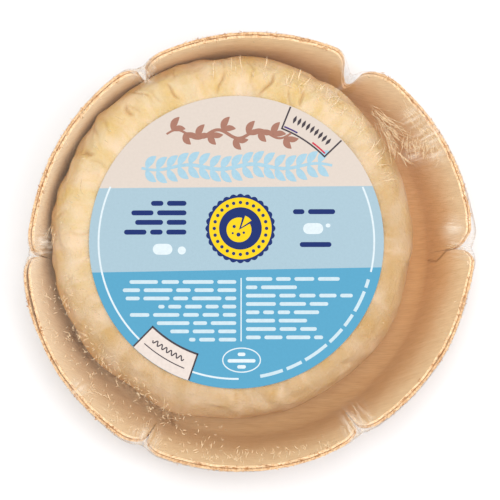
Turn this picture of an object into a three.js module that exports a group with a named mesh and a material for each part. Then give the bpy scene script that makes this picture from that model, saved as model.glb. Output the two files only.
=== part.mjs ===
// A small soft cheese in a moulded wood-veneer tray, shrink-wrapped in clear film, with a round paper
// label on the film above it and another below. Millimetres, +Z up. The origin is on the resting face,
// under the middle of the tray's flat base.

import * as THREE from "three";

// Sheets
const PAPER = 0.1;
const FILM = 0.2;
const FILM_CLEARANCE = 0.15;
const VENEER = 0.6;
const GLUE_LINE = 0.05;

// Tray: a flat round base, a bend, and six petals that flare to the rim
const PETALS = 6;
const BASE_RADIUS = 36.5;
const BEND_RADIUS = 4;
const PETAL_LENGTH = 15;
const RIM_CENTRE = new THREE.Vector2(2, -1.6);
const FIRST_NOTCH = 1; // degrees from +X
// How far each petal's inner edge stands from the rim's centre, at its two ends, anticlockwise
const PETAL_REACH = [
  [45.9, 45.6],
  [45.1, 44.2],
  [45.0, 45.1],
  [46.3, 46.9],
  [46.4, 43.9],
  [44.1, 45.5],
];
const REACH_EASE = 3;

// Notches between the petals: a slit that opens by its own amount, between two rounded corners
const SLIT_DEPTH = 9;
const SLIT_FLARE = [0.6, 1.7, 0.9, 0.6, 0.5, 0.5];
const CORNER_DROP = 4;
const CORNER_WIDTH = 3.2;
// The share of each slit's depth to which the film sinks
const FILM_SINK = [0, 0.7, 0.25, 0.15, 0.05, 0];
const FILM_OPENING_RADIUS = 6;

// Cheese: a low round, pushed a little off the tray's middle
const CHEESE_RADIUS = 37.2;
const CHEESE_HEIGHT = 19;
const CHEESE_CENTRE = new THREE.Vector2(-1.9, 1.6);
const CHEESE_SHOULDER = 5;
const CHEESE_FOOT = 4;
const CHEESE_FULLNESS = 0.4;
const CHEESE_SEGMENTS = 60;
const CHEESE_CURVE_STEPS = 2;

// Labels
const FRONT_LABEL_RADIUS = 30.7;
const FRONT_LABEL_CENTRE = new THREE.Vector2(-1, -0.3);
const BACK_LABEL_RADIUS = 25;
const LABEL_SEGMENTS = 72;

// Levels of the flat faces, from the resting face up
const trayThickness = 2 * VENEER + GLUE_LINE;
const trayBottom = PAPER + FILM;
const trayFloor = trayBottom + trayThickness;
const cheeseTop = trayFloor + CHEESE_HEIGHT;
const filmTop = cheeseTop + FILM;

// Distances along the rim from a notch at which the tray and the film are drawn, up to a petal's middle
const SLICE_STEPS = [0, 0.6, 1.6, 3.2, 5.5, 10, 17, 24];

/** How far a petal's inner edge stands from the rim's centre, eased into its neighbour's at the notch. */
function reachFromRimCentre(petal, along, fromNotch, atEnd) {
  const [first, last] = PETAL_REACH[petal];
  const before = PETAL_REACH[(petal + PETALS - 1) % PETALS][1];
  const after = PETAL_REACH[(petal + 1) % PETALS][0];
  const step = atEnd ? after - last : before - first;
  return THREE.MathUtils.lerp(first, last, along) + (step / 2) * Math.exp(-fromNotch / REACH_EASE);
}

/** The petal's slope from the horizontal that brings its inner edge to a given reach from the axis. */
function slopeFor(reach) {
  const armLength = Math.hypot(BEND_RADIUS, PETAL_LENGTH);
  return Math.atan2(BEND_RADIUS, PETAL_LENGTH) + Math.acos((reach - BASE_RADIUS) / armLength);
}

/** One upright slice through the tray: its direction, its petal's slope, and how deep the notch is there. */
function makeSlice(petal, fromNotch, atEnd) {
  const petalWidth = 2 * SLICE_STEPS.at(-1);
  const along = (atEnd ? petalWidth - fromNotch : fromNotch) / petalWidth;
  const turn = THREE.MathUtils.degToRad(FIRST_NOTCH + ((petal + along) * 360) / PETALS);
  const rim = new THREE.Vector2(Math.cos(turn), Math.sin(turn))
    .multiplyScalar(reachFromRimCentre(petal, along, fromNotch, atEnd))
    .add(RIM_CENTRE);
  const notch = atEnd ? (petal + 1) % PETALS : petal;
  return {
    direction: rim.clone().normalize(),
    slope: slopeFor(rim.length()),
    corner: CORNER_DROP * Math.exp(-((fromNotch / CORNER_WIDTH) ** 2)),
    slit: SLIT_DEPTH * Math.exp(-fromNotch / SLIT_FLARE[notch]),
    filmSink: FILM_SINK[notch],
  };
}

/** All the slices, once round the tray, close together at the notches. */
function makeSlices() {
  const slices = [];
  for (let petal = 0; petal < PETALS; petal++) {
    SLICE_STEPS.forEach((step) => slices.push(makeSlice(petal, step, false)));
    SLICE_STEPS.slice(1, -1)
      .reverse()
      .forEach((step) => slices.push(makeSlice(petal, step, true)));
  }
  return slices;
}

/** A point of a slice, at a radius from the axis and a height. */
function inSlice(slice, radius, height) {
  return new THREE.Vector3(slice.direction.x * radius, slice.direction.y * radius, height);
}

/** A point on the bend of the tray, out from its inner face. */
function onBend(slice, angle, outward) {
  const bend = BEND_RADIUS + outward;
  return inSlice(
    slice,
    BASE_RADIUS + bend * Math.sin(angle),
    trayFloor + BEND_RADIUS - bend * Math.cos(angle),
  );
}

/** A point on the straight of a petal, out from its inner face. */
function onPetal(slice, length, outward) {
  const rise = inSlice(slice, length * Math.cos(slice.slope), length * Math.sin(slice.slope));
  return onBend(slice, slice.slope, outward).add(rise);
}

/** One face of a veneer in a slice, from the middle of the base to the petal's edge. */
function veneerFace(slice, outward) {
  const length = PETAL_LENGTH - slice.corner - slice.slit;
  return [
    inSlice(slice, 0, trayFloor - outward),
    inSlice(slice, BASE_RADIUS, trayFloor - outward),
    onBend(slice, slice.slope / 3, outward),
    onBend(slice, (2 * slice.slope) / 3, outward),
    onPetal(slice, 0, outward),
    onPetal(slice, length / 2, outward),
    onPetal(slice, length, outward),
  ];
}

/** A thin closed sheet between two faces, each a ring of slices from a point on the axis to an edge. */
function makeSheet(outerFace, innerFace) {
  const around = outerFace.length;
  const along = outerFace[0].length;
  const index = [];
  const at = (face, j, k) => (face * around + (j % around)) * along + k;
  const addQuad = (a, b, c, d) => index.push(a, b, c, a, c, d);
  for (let j = 0; j < around; j++) {
    // The first ring meets the axis, so it is a fan
    index.push(at(0, j, 0), at(0, j, 1), at(0, j + 1, 1));
    index.push(at(1, j, 0), at(1, j + 1, 1), at(1, j, 1));
    for (let k = 1; k < along - 1; k++) {
      addQuad(at(0, j, k), at(0, j, k + 1), at(0, j + 1, k + 1), at(0, j + 1, k));
      addQuad(at(1, j + 1, k + 1), at(1, j, k + 1), at(1, j, k), at(1, j + 1, k));
    }
    addQuad(at(0, j, along - 1), at(1, j, along - 1), at(1, j + 1, along - 1), at(0, j + 1, along - 1));
  }
  const geometry = new THREE.BufferGeometry().setFromPoints([...outerFace.flat(), ...innerFace.flat()]);
  geometry.setIndex(index);
  geometry.computeVertexNormals();
  return geometry;
}

/** One ply of the tray, between two distances out from the tray's inner face. */
function makeVeneer(slices, inner, outer) {
  return makeSheet(
    slices.map((slice) => veneerFace(slice, inner)),
    slices.map((slice) => veneerFace(slice, outer)),
  );
}

/** A point over the cheese's rounded top edge, raised from it, at an angle round its shoulder. */
function overShoulder(slice, angle, raised, topHeight) {
  const shoulder = CHEESE_SHOULDER + raised;
  const height = cheeseTop - CHEESE_SHOULDER + shoulder * Math.cos(angle);
  return inSlice(
    slice,
    CHEESE_RADIUS - CHEESE_SHOULDER + shoulder * Math.sin(angle),
    Math.min(height, topHeight),
  ).add(new THREE.Vector3(CHEESE_CENTRE.x, CHEESE_CENTRE.y, 0));
}

/** The angle round the cheese's shoulder at which film drawn straight to a point of the rim leaves it. */
function leavingAngle(rimPoint, raised) {
  const fromCheese = Math.hypot(rimPoint.x - CHEESE_CENTRE.x, rimPoint.y - CHEESE_CENTRE.y);
  const across = fromCheese - (CHEESE_RADIUS - CHEESE_SHOULDER);
  const above = rimPoint.z - (cheeseTop - CHEESE_SHOULDER);
  return Math.atan2(across, above) - Math.acos((CHEESE_SHOULDER + raised) / Math.hypot(across, above));
}

/** One face of the film in a slice: over the cheese, across to the rim, round it, and in under the base. */
function filmFace(slice, raised, topHeight, bottomHeight) {
  const length = PETAL_LENGTH + raised - slice.corner - slice.filmSink * slice.slit;
  const outside = trayThickness + raised;
  const rimInside = onPetal(slice, length, -raised);
  const leaving = leavingAngle(rimInside, raised);
  const leavesCheese = overShoulder(slice, leaving, raised, topHeight);
  return [
    new THREE.Vector3(CHEESE_CENTRE.x, CHEESE_CENTRE.y, topHeight),
    overShoulder(slice, 0, raised, topHeight),
    overShoulder(slice, leaving / 3, raised, topHeight),
    overShoulder(slice, (2 * leaving) / 3, raised, topHeight),
    leavesCheese,
    leavesCheese.clone().lerp(rimInside, 0.5),
    rimInside,
    onPetal(slice, length, outside),
    onPetal(slice, length / 2, outside),
    onPetal(slice, 0, outside),
    onBend(slice, (2 * slice.slope) / 3, outside),
    onBend(slice, slice.slope / 3, outside),
    inSlice(slice, BASE_RADIUS, bottomHeight),
    inSlice(slice, FILM_OPENING_RADIUS, bottomHeight),
  ];
}

/** The film: a thin bag round everything, with a small ring left open under the base, where it is gathered. */
function makeFilm(slices) {
  return makeSheet(
    slices.map((slice) => filmFace(slice, FILM_CLEARANCE + FILM, filmTop, PAPER)),
    slices.map((slice) => filmFace(slice, FILM_CLEARANCE, cheeseTop, trayBottom)),
  );
}

/** The cheese: a low round with a soft foot and shoulder and a slightly full side, standing on z = 0. */
function makeCheese() {
  const footCentre = CHEESE_RADIUS - CHEESE_FULLNESS - CHEESE_FOOT;
  const shoulderCentre = CHEESE_RADIUS - CHEESE_SHOULDER;
  const shoulderHeight = CHEESE_HEIGHT - CHEESE_SHOULDER;
  const profile = new THREE.Path();
  profile.moveTo(0, 0);
  profile.lineTo(footCentre, 0);
  profile.absarc(footCentre, CHEESE_FOOT, CHEESE_FOOT, -Math.PI / 2, 0, false);
  profile.quadraticCurveTo(
    CHEESE_RADIUS + CHEESE_FULLNESS,
    CHEESE_HEIGHT / 2,
    CHEESE_RADIUS,
    shoulderHeight,
  );
  profile.absarc(shoulderCentre, shoulderHeight, CHEESE_SHOULDER, 0, Math.PI / 2, false);
  profile.lineTo(0, CHEESE_HEIGHT);
  return new THREE.LatheGeometry(profile.getPoints(CHEESE_CURVE_STEPS), CHEESE_SEGMENTS).rotateX(Math.PI / 2);
}

/** A round paper label standing on z = 0. */
function makeLabel(radius) {
  return new THREE.CylinderGeometry(radius, radius, PAPER, LABEL_SEGMENTS)
    .rotateX(Math.PI / 2)
    .translate(0, 0, PAPER / 2);
}

/** A piece of the pack: its name, shape, finish and place. */
function makePiece(name, geometry, finish, place = new THREE.Vector3()) {
  const piece = new THREE.Mesh(geometry, new THREE.MeshStandardMaterial({ metalness: 0, ...finish }));
  piece.name = name;
  piece.position.copy(place);
  return piece;
}

const slices = makeSlices();
const insideInnerPly = 0;
const outsideInnerPly = VENEER;
const insideOuterPly = VENEER + GLUE_LINE;
const onTray = new THREE.Vector3(CHEESE_CENTRE.x, CHEESE_CENTRE.y, trayFloor);
const onFilm = new THREE.Vector3(FRONT_LABEL_CENTRE.x, FRONT_LABEL_CENTRE.y, filmTop);

const pack = new THREE.Group();
pack.add(
  makePiece("cheese", makeCheese(), { color: "#ecd19a", roughness: 0.6 }, onTray),
  makePiece("tray_inner_veneer", makeVeneer(slices, insideInnerPly, outsideInnerPly), {
    color: "#d4a97a",
    roughness: 0.7,
  }),
  makePiece("tray_outer_veneer", makeVeneer(slices, insideOuterPly, trayThickness), {
    color: "#deb88a",
    roughness: 0.75,
  }),
  makePiece("film_wrap", makeFilm(slices), {
    color: "#ffffff",
    roughness: 0.08,
    transparent: true,
    opacity: 0.18,
  }),
  makePiece("front_label", makeLabel(FRONT_LABEL_RADIUS), { color: "#93c4da", roughness: 0.5 }, onFilm),
  makePiece("back_label", makeLabel(BACK_LABEL_RADIUS), { color: "#f3efe6", roughness: 0.6 }),
);

export default pack;
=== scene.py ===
import math

import bmesh
import bpy
import numpy as np
from mathutils import Matrix, Vector
from mathutils.bvhtree import BVHTree


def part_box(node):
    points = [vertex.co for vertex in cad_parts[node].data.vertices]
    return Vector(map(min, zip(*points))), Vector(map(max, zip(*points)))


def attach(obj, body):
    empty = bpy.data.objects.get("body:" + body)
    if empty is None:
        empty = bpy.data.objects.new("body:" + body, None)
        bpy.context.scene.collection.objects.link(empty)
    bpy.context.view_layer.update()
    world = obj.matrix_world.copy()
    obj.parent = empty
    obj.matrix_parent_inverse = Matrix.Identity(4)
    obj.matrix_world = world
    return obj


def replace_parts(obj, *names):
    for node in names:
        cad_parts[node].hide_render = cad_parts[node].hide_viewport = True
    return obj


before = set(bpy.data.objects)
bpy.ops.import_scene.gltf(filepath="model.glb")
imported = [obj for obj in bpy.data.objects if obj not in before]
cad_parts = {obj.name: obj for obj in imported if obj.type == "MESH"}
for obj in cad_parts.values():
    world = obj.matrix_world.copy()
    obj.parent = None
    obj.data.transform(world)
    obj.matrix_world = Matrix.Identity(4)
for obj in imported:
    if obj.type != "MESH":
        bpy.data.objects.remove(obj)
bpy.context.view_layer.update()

MM = 0.001  # every shape below is worked out in millimetres

# ------------------------------------------------------------------------------------------------
# The pack's dimensions. Heights, centres and label sizes come from the CAD parts in model.glb.
# ------------------------------------------------------------------------------------------------


def box_mm(node):
    """A CAD node's lowest and highest corners, in millimetres."""
    low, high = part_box(node)
    return np.array(low) / MM, np.array(high) / MM


cheese_low, cheese_high = box_mm("cheese")
label_low, label_high = box_mm("front_label")
back_low, back_high = box_mm("back_label")

TRAY_FLOOR = cheese_low[2]
CHEESE_TOP = cheese_high[2]
CHEESE_CENTRE = (cheese_low[:2] + cheese_high[:2]) / 2
LABEL_CENTRE = (label_low[:2] + label_high[:2]) / 2
LABEL_RADIUS = (label_high[0] - label_low[0]) / 2
LABEL_TOP = label_high[2]
BACK_LABEL_RADIUS = (back_high[0] - back_low[0]) / 2

PETALS = 6
BASE_RADIUS = 36.5
BEND_RADIUS = 4.0
PETAL_LENGTH = 15.0
PETAL_WIDTH = 48.0
RIM_CENTRE = np.array([2.0, -1.6])
FIRST_NOTCH = 1.0  # degrees from +X
PETAL_REACH = np.array(
    [[45.9, 45.6], [45.1, 44.2], [45.0, 45.1], [46.3, 46.9], [46.4, 43.9], [44.1, 45.5]]
)
REACH_EASE = 3.0
RIM_RADIUS = 46  # near enough, for patterns that run round the rim
SLIT_FOOT = 2.0  # how far up the flank each slit begins

# Corners of each petal, at its start and its end: how far round the rim and how far down they reach
CORNERS = np.array(
    [
        [[5.0, 7.5], [8.5, 8.0]],
        [[3.4, 8.0], [5.0, 7.5]],
        [[4.6, 7.0], [5.0, 6.5]],
        [[4.6, 6.5], [5.0, 6.5]],
        [[4.6, 6.5], [4.8, 6.0]],
        [[4.6, 6.0], [4.8, 6.5]],
    ]
)
# Half the gap between two petals' edges at each notch; below nought the petals lap
HALF_GAP = np.array([-0.5, 1.9, 0.8, 0.2, 0.12, 0.12])
# How far each petal's start and end edges lean out from the tray
EDGE_LEAN = np.array([[-0.75, 0.2], [-0.1, 0.15], [-0.1, 0.1], [0.1, -0.1], [0.1, 0.0], [-0.1, 0.8]])
LEAN_REACH = 6.0

PLY = 0.52
PLY_GAP = 0.21
TRAY_THICKNESS = 2 * PLY + PLY_GAP

CHEESE_RADIUS = 37.2
CHEESE_SHOULDER = 5.0
CHEESE_FOOT = 4.0
CHEESE_FULLNESS = 0.4

FILM = 0.03
FILM_CLEARANCE = 0.1
# At each notch: how close to the petals' corners the film bridges, and how far it sinks between them
FILM_BRIDGE = np.array([1.2, 0.6, 0.5, 0.8, 0.9, 1.7])
FILM_SINK = np.array([0.0, 4.2, 0.6, 0.0, 0.0, 0.0])

# ------------------------------------------------------------------------------------------------
# Camera, floor and light
# ------------------------------------------------------------------------------------------------

CAMERA_TILT = math.radians(7.0)  # from straight above, towards the front
CAMERA_TURN = math.radians(5.0)  # and a little to the right
CAMERA_DISTANCE = 0.6
FIELD_WIDTH = 0.1048  # what the camera sees across at that distance
SENSOR = 36.0

to_camera = Vector(
    (
        math.sin(CAMERA_TILT) * math.sin(CAMERA_TURN),
        -math.sin(CAMERA_TILT) * math.cos(CAMERA_TURN),
        math.cos(CAMERA_TILT),
    )
)
aim = Vector((0.0018, -0.0016, 0.0165))
camera = bpy.data.objects.new("camera", bpy.data.cameras.new("camera"))
bpy.context.scene.collection.objects.link(camera)
camera.data.sensor_width = SENSOR
camera.data.lens = SENSOR * CAMERA_DISTANCE / FIELD_WIDTH
across = Vector((0, 1, 0)).cross(to_camera).normalized()
upward = to_camera.cross(across)
turned = Matrix((across, upward, to_camera)).transposed().to_4x4()
camera.matrix_world = Matrix.Translation(aim + to_camera * CAMERA_DISTANCE) @ turned
bpy.context.scene.camera = camera
bpy.context.scene.view_settings.view_transform = "Standard"


def to_linear(colour):
    """An sRGB hex colour as the linear numbers that shaders take."""
    channels = [int(colour[i : i + 2], 16) / 255 for i in (1, 3, 5)]
    linear = [c / 12.92 if c <= 0.04045 else ((c + 0.055) / 1.055) ** 2.4 for c in channels]
    return (*linear, 1.0)


def add(tree, kind, inputs=None, stops=None, **settings):
    """Adds a node with its settings, its values, and its links to the nodes named as inputs."""
    made = tree.nodes.new("ShaderNode" + kind)
    for name, value in settings.items():
        setattr(made, name, value)
    for socket, value in (inputs or {}).items():
        if isinstance(value, bpy.types.Node):
            value = value.outputs[0]
        if isinstance(value, bpy.types.NodeSocket):
            tree.links.new(value, made.inputs[socket])
        else:
            made.inputs[socket].default_value = value
    for index, (place, colour) in enumerate(stops or []):
        elements = made.color_ramp.elements
        element = elements[index] if index < 2 else elements.new(place)
        element.position = place
        element.color = to_linear(colour)
    return made


def new_material(name):
    """A named material with an empty node tree."""
    material = bpy.data.materials.new(name)
    material.use_nodes = True
    material.node_tree.nodes.clear()
    return material, material.node_tree


def add_area_light(name, place, size, power, colour, mirrored):
    """A soft square light that looks at the pack, with or without its own reflection in the film."""
    light = bpy.data.lights.new(name, "AREA")
    light.size = size
    light.energy = power
    light.color = to_linear(colour)[:3]
    holder = bpy.data.objects.new(name, light)
    holder.location = place
    holder.visible_glossy = mirrored
    holder.rotation_euler = (aim - Vector(place)).to_track_quat("-Z", "Y").to_euler()
    bpy.context.scene.collection.objects.link(holder)


add_area_light("key_softbox", (-0.03, 0.06, 0.90), 0.5, 3.35, "#fffbf6", False)
add_area_light("fill_softbox", (0.40, -0.22, 0.76), 0.5, 1.9, "#fffdfa", False)
add_area_light("edge_softbox", (0.62, 0.20, 0.34), 0.16, 0.35, "#ffffff", True)

world = bpy.data.worlds.new("studio")
bpy.context.scene.world = world
world.use_nodes = True
world.node_tree.nodes["Background"].inputs["Color"].default_value = to_linear("#ffffff")
world.node_tree.nodes["Background"].inputs["Strength"].default_value = 0.97

FLOOR_HALF = 3.0
floor_mesh = bpy.data.meshes.new("floor")
floor_mesh.from_pydata(
    [(x * FLOOR_HALF, y * FLOOR_HALF, 0) for x, y in ((-1, -1), (1, -1), (1, 1), (-1, 1))],
    [],
    [(0, 1, 2, 3)],
)
floor = bpy.data.objects.new("floor", floor_mesh)
bpy.context.scene.collection.objects.link(floor)
floor_paper, tree = new_material("white_background_paper")
shader = add(
    tree,
    "BsdfPrincipled",
    {"Base Color": to_linear("#e6e8ec"), "Roughness": 0.9, "Specular IOR Level": 0.1},
)
add(tree, "OutputMaterial", {"Surface": shader})
floor_mesh.materials.append(floor_paper)

# ------------------------------------------------------------------------------------------------
# Mesh helpers
# ------------------------------------------------------------------------------------------------


def random_field(points, size, seed, waves=28):
    """A smooth random field over points, of about unit strength, with bumps about size across."""
    draw = np.random.default_rng(seed)
    points = np.asarray(points, float)
    directions = draw.normal(size=(waves, points.shape[-1]))
    directions /= np.linalg.norm(directions, axis=1)[:, None]
    lengths = 2 * size * draw.uniform(0.7, 1.6, waves)
    phases = draw.uniform(0, 2 * np.pi, waves)
    return np.cos(points @ (2 * np.pi * directions / lengths[:, None]).T + phases).sum(-1) * math.sqrt(
        2 / waves
    )


def around(turn):
    """Unit directions on the level, from turns in radians."""
    return np.stack([np.cos(turn), np.sin(turn)], -1)


def smooth_step(low, high, value):
    """Nought below low, one above high, and eased between."""
    share = np.clip((value - low) / (high - low), 0, 1)
    return share * share * (3 - 2 * share)


def make_piece(name, points, faces, materials, attributes=None, face_materials=None, crease=40.0, weld=None):
    """A mesh piece on the pack's body: its points in millimetres, its faces and its materials."""
    mesh = bpy.data.meshes.new(name)
    mesh.from_pydata((np.asarray(points) * MM).tolist(), [], faces)
    for key, values in (attributes or {}).items():
        values = np.asarray(values, np.float32)
        kind, field = ("FLOAT_VECTOR", "vector") if values.ndim == 2 else ("FLOAT", "value")
        mesh.attributes.new(key, kind, "POINT").data.foreach_set(field, values.ravel())
    for material in materials:
        mesh.materials.append(material)
    if face_materials is not None:
        mesh.polygons.foreach_set("material_index", np.asarray(face_materials, np.int32))
    shaped = bmesh.new()
    shaped.from_mesh(mesh)
    if weld:
        bmesh.ops.remove_doubles(shaped, verts=shaped.verts, dist=weld * MM)
    bmesh.ops.recalc_face_normals(shaped, faces=shaped.faces)
    shaped.to_mesh(mesh)
    shaped.free()
    mesh.shade_smooth()
    mesh.set_sharp_from_angle(angle=math.radians(crease))
    piece = bpy.data.objects.new(name, mesh)
    bpy.context.scene.collection.objects.link(piece)
    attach(piece, "root")
    return piece


def shell_faces(columns, rows):
    """Quads for a closed round shell: an outer grid, an inner grid after it, and the rim between them.
    The columns close on themselves, and their first row may shrink to one point."""
    faces, size = [], columns * rows
    for column in range(columns):
        after = (column + 1) % columns
        for row in range(rows - 1):
            a, b = column * rows + row, after * rows + row
            faces.append((a, a + 1, b + 1, b))
            faces.append((size + a, size + b, size + b + 1, size + a + 1))
        a, b = column * rows + rows - 1, after * rows + rows - 1
        faces.append((a, size + a, size + b, b))
    return faces


def surface_of(piece):
    """A piece's surface in millimetres, to measure from."""
    corners = [tuple(corner.co / MM) for corner in piece.data.vertices]
    return BVHTree.FromPolygons(corners, [tuple(face.vertices) for face in piece.data.polygons])


def clear_of(surface, points, clearance, deepest):
    """How far to move each point to stand clear of a surface, where it is no deeper in than deepest."""
    moves = np.zeros_like(points)
    for index, point in enumerate(points):
        near, facing, _, distance = surface.find_nearest(Vector(point), deepest)
        if near is None:
            continue
        away = Vector(point) - near
        outside = away.dot(facing) >= 0
        if outside and distance >= clearance:
            continue
        heading = away.normalized() if outside and distance > 1e-4 else facing
        moves[index] = near + heading * clearance - Vector(point)
    return moves


def grid_faces(first, columns, rows, turned=False):
    """Quads over a grid whose points run row by row within each column, from index first."""
    faces = []
    for column in range(columns - 1):
        for row in range(rows - 1):
            a = first + column * rows + row
            quad = (a, a + rows, a + rows + 1, a + 1)
            faces.append(quad[::-1] if turned else quad)
    return faces


# ------------------------------------------------------------------------------------------------
# Veneer tray
# ------------------------------------------------------------------------------------------------


def flank(petal, along):
    """The upright plane at a place along a petal: its direction from the axis, and the flank's slope."""
    first, last = PETAL_REACH[petal].T
    before = PETAL_REACH[(petal - 1) % PETALS, 1]
    after = PETAL_REACH[(petal + 1) % PETALS, 0]
    reach = first + (last - first) * along
    reach += (before - first) / 2 * np.exp(-along * PETAL_WIDTH / REACH_EASE)
    reach += (after - last) / 2 * np.exp(-(1 - along) * PETAL_WIDTH / REACH_EASE)
    turn = np.radians(FIRST_NOTCH + (petal + along) * 360 / PETALS)
    rim = RIM_CENTRE + reach[..., None] * around(turn)
    distance = np.linalg.norm(rim, axis=-1)
    arm = math.hypot(BEND_RADIUS, PETAL_LENGTH)
    slope = math.atan2(BEND_RADIUS, PETAL_LENGTH) + np.arccos((distance - BASE_RADIUS) / arm)
    return rim / distance[..., None], slope


def on_tray(direction, angle, length, outward):
    """A point at an angle round the tray's bend, a length on along that slope, and outward from its face."""
    bend = BEND_RADIUS + outward
    radius = BASE_RADIUS + bend * np.sin(angle) + length * np.cos(angle)
    height = TRAY_FLOOR + BEND_RADIUS - bend * np.cos(angle) + length * np.sin(angle)
    return np.stack([direction[..., 0] * radius, direction[..., 1] * radius, height + 0 * radius], -1)


def corner_drop(distance, across, down):
    """How far a petal's edge falls at a distance from its side, round a corner of that reach."""
    share = 1 - np.clip(distance / across, 0, 1)
    return down * (1 - np.sqrt(1 - share**2))


COLUMNS = 120  # in each petal
BASE_STEPS = 8
BEND_STEPS = 7
FLANK_STEPS = 26
LIP = 0.14  # the last strip under the cut edge
LIP_CHAMFER = 0.07
BUTT_GAP = 0.03 / PETAL_WIDTH  # as a share of a petal's width

petal_index = np.repeat(np.arange(PETALS), COLUMNS + 1)
even = np.tile(np.linspace(0, 1, COLUMNS + 1), PETALS)
column_share = 0.35 * even + 0.65 * (1 - np.cos(np.pi * even)) / 2


def ply_top(petal, along, fray):
    """How far up the flank a ply's cut edge stands."""
    start, end = CORNERS[petal, 0], CORNERS[petal, 1]
    gap_start, gap_end = HALF_GAP[petal], HALF_GAP[(petal + 1) % PETALS]
    from_start = along * (PETAL_WIDTH - gap_start - gap_end)
    from_end = (1 - along) * (PETAL_WIDTH - gap_start - gap_end)
    top = PETAL_LENGTH - corner_drop(from_start, start[:, 0], start[:, 1])
    return top - corner_drop(from_end, end[:, 0], end[:, 1]) - fray


# How far the wood is tanned, every 30 degrees round the rim: partly the cheese's damp soaked in, partly
# painted shade where the walls lie in shadow
DAMP_AND_SHADE = np.array([0.75, 0.60, 0.45, 0.50, 0.30, 0.05, 0.00, 0.15, 0.40, 0.75, 0.75, 0.70, 0.75])
# How pale it is painted: partly fresh unstained wood, partly painted light on the steep left and back left
# walls
UNSTAINED_AND_LIT = np.array([0.0, 0.2, 0.3, 0.2, 0.6, 0.9, 1.0, 0.5, 0.1, 0.0, 0.0, 0.0, 0.0])
# And how drab that tan has turned
DRAB = np.array([0.25, 0.05, 0.0, 0.0, 0.0, 0.1, 0.4, 0.75, 0.9, 1.0, 0.9, 0.6, 0.25])
# Where the cheese's foot meets the wood at the front left: a ragged band, partly damp wood and partly painted
# contact shadow
CHEESE_FOOT_BAND_START = np.array([-36.0, -18.5])
CHEESE_FOOT_BAND_END = np.array([-15.0, -36.5])
# Where the veneer has creased below the lapped notch, from the rim down: a painted shadow line is laid along
# it
CREASE = np.array([(44.4, -0.7), (43.3, -0.9), (42.2, -2.1), (41.4, -2.8), (39.8, -2.3)])
# And a painted highlight beside it: a pale spot where a pressed bump catches the light
PAINTED_HIGHLIGHT_SPOT = np.array([44.7, 3.3])


def distance_to(points, start, end):
    """How far points on the level are from a straight line between two places."""
    along, across = end - start, points - start
    share = np.clip(across @ along / (along @ along), 0, 1)
    return np.linalg.norm(across - share[:, None] * along, axis=1)


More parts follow.
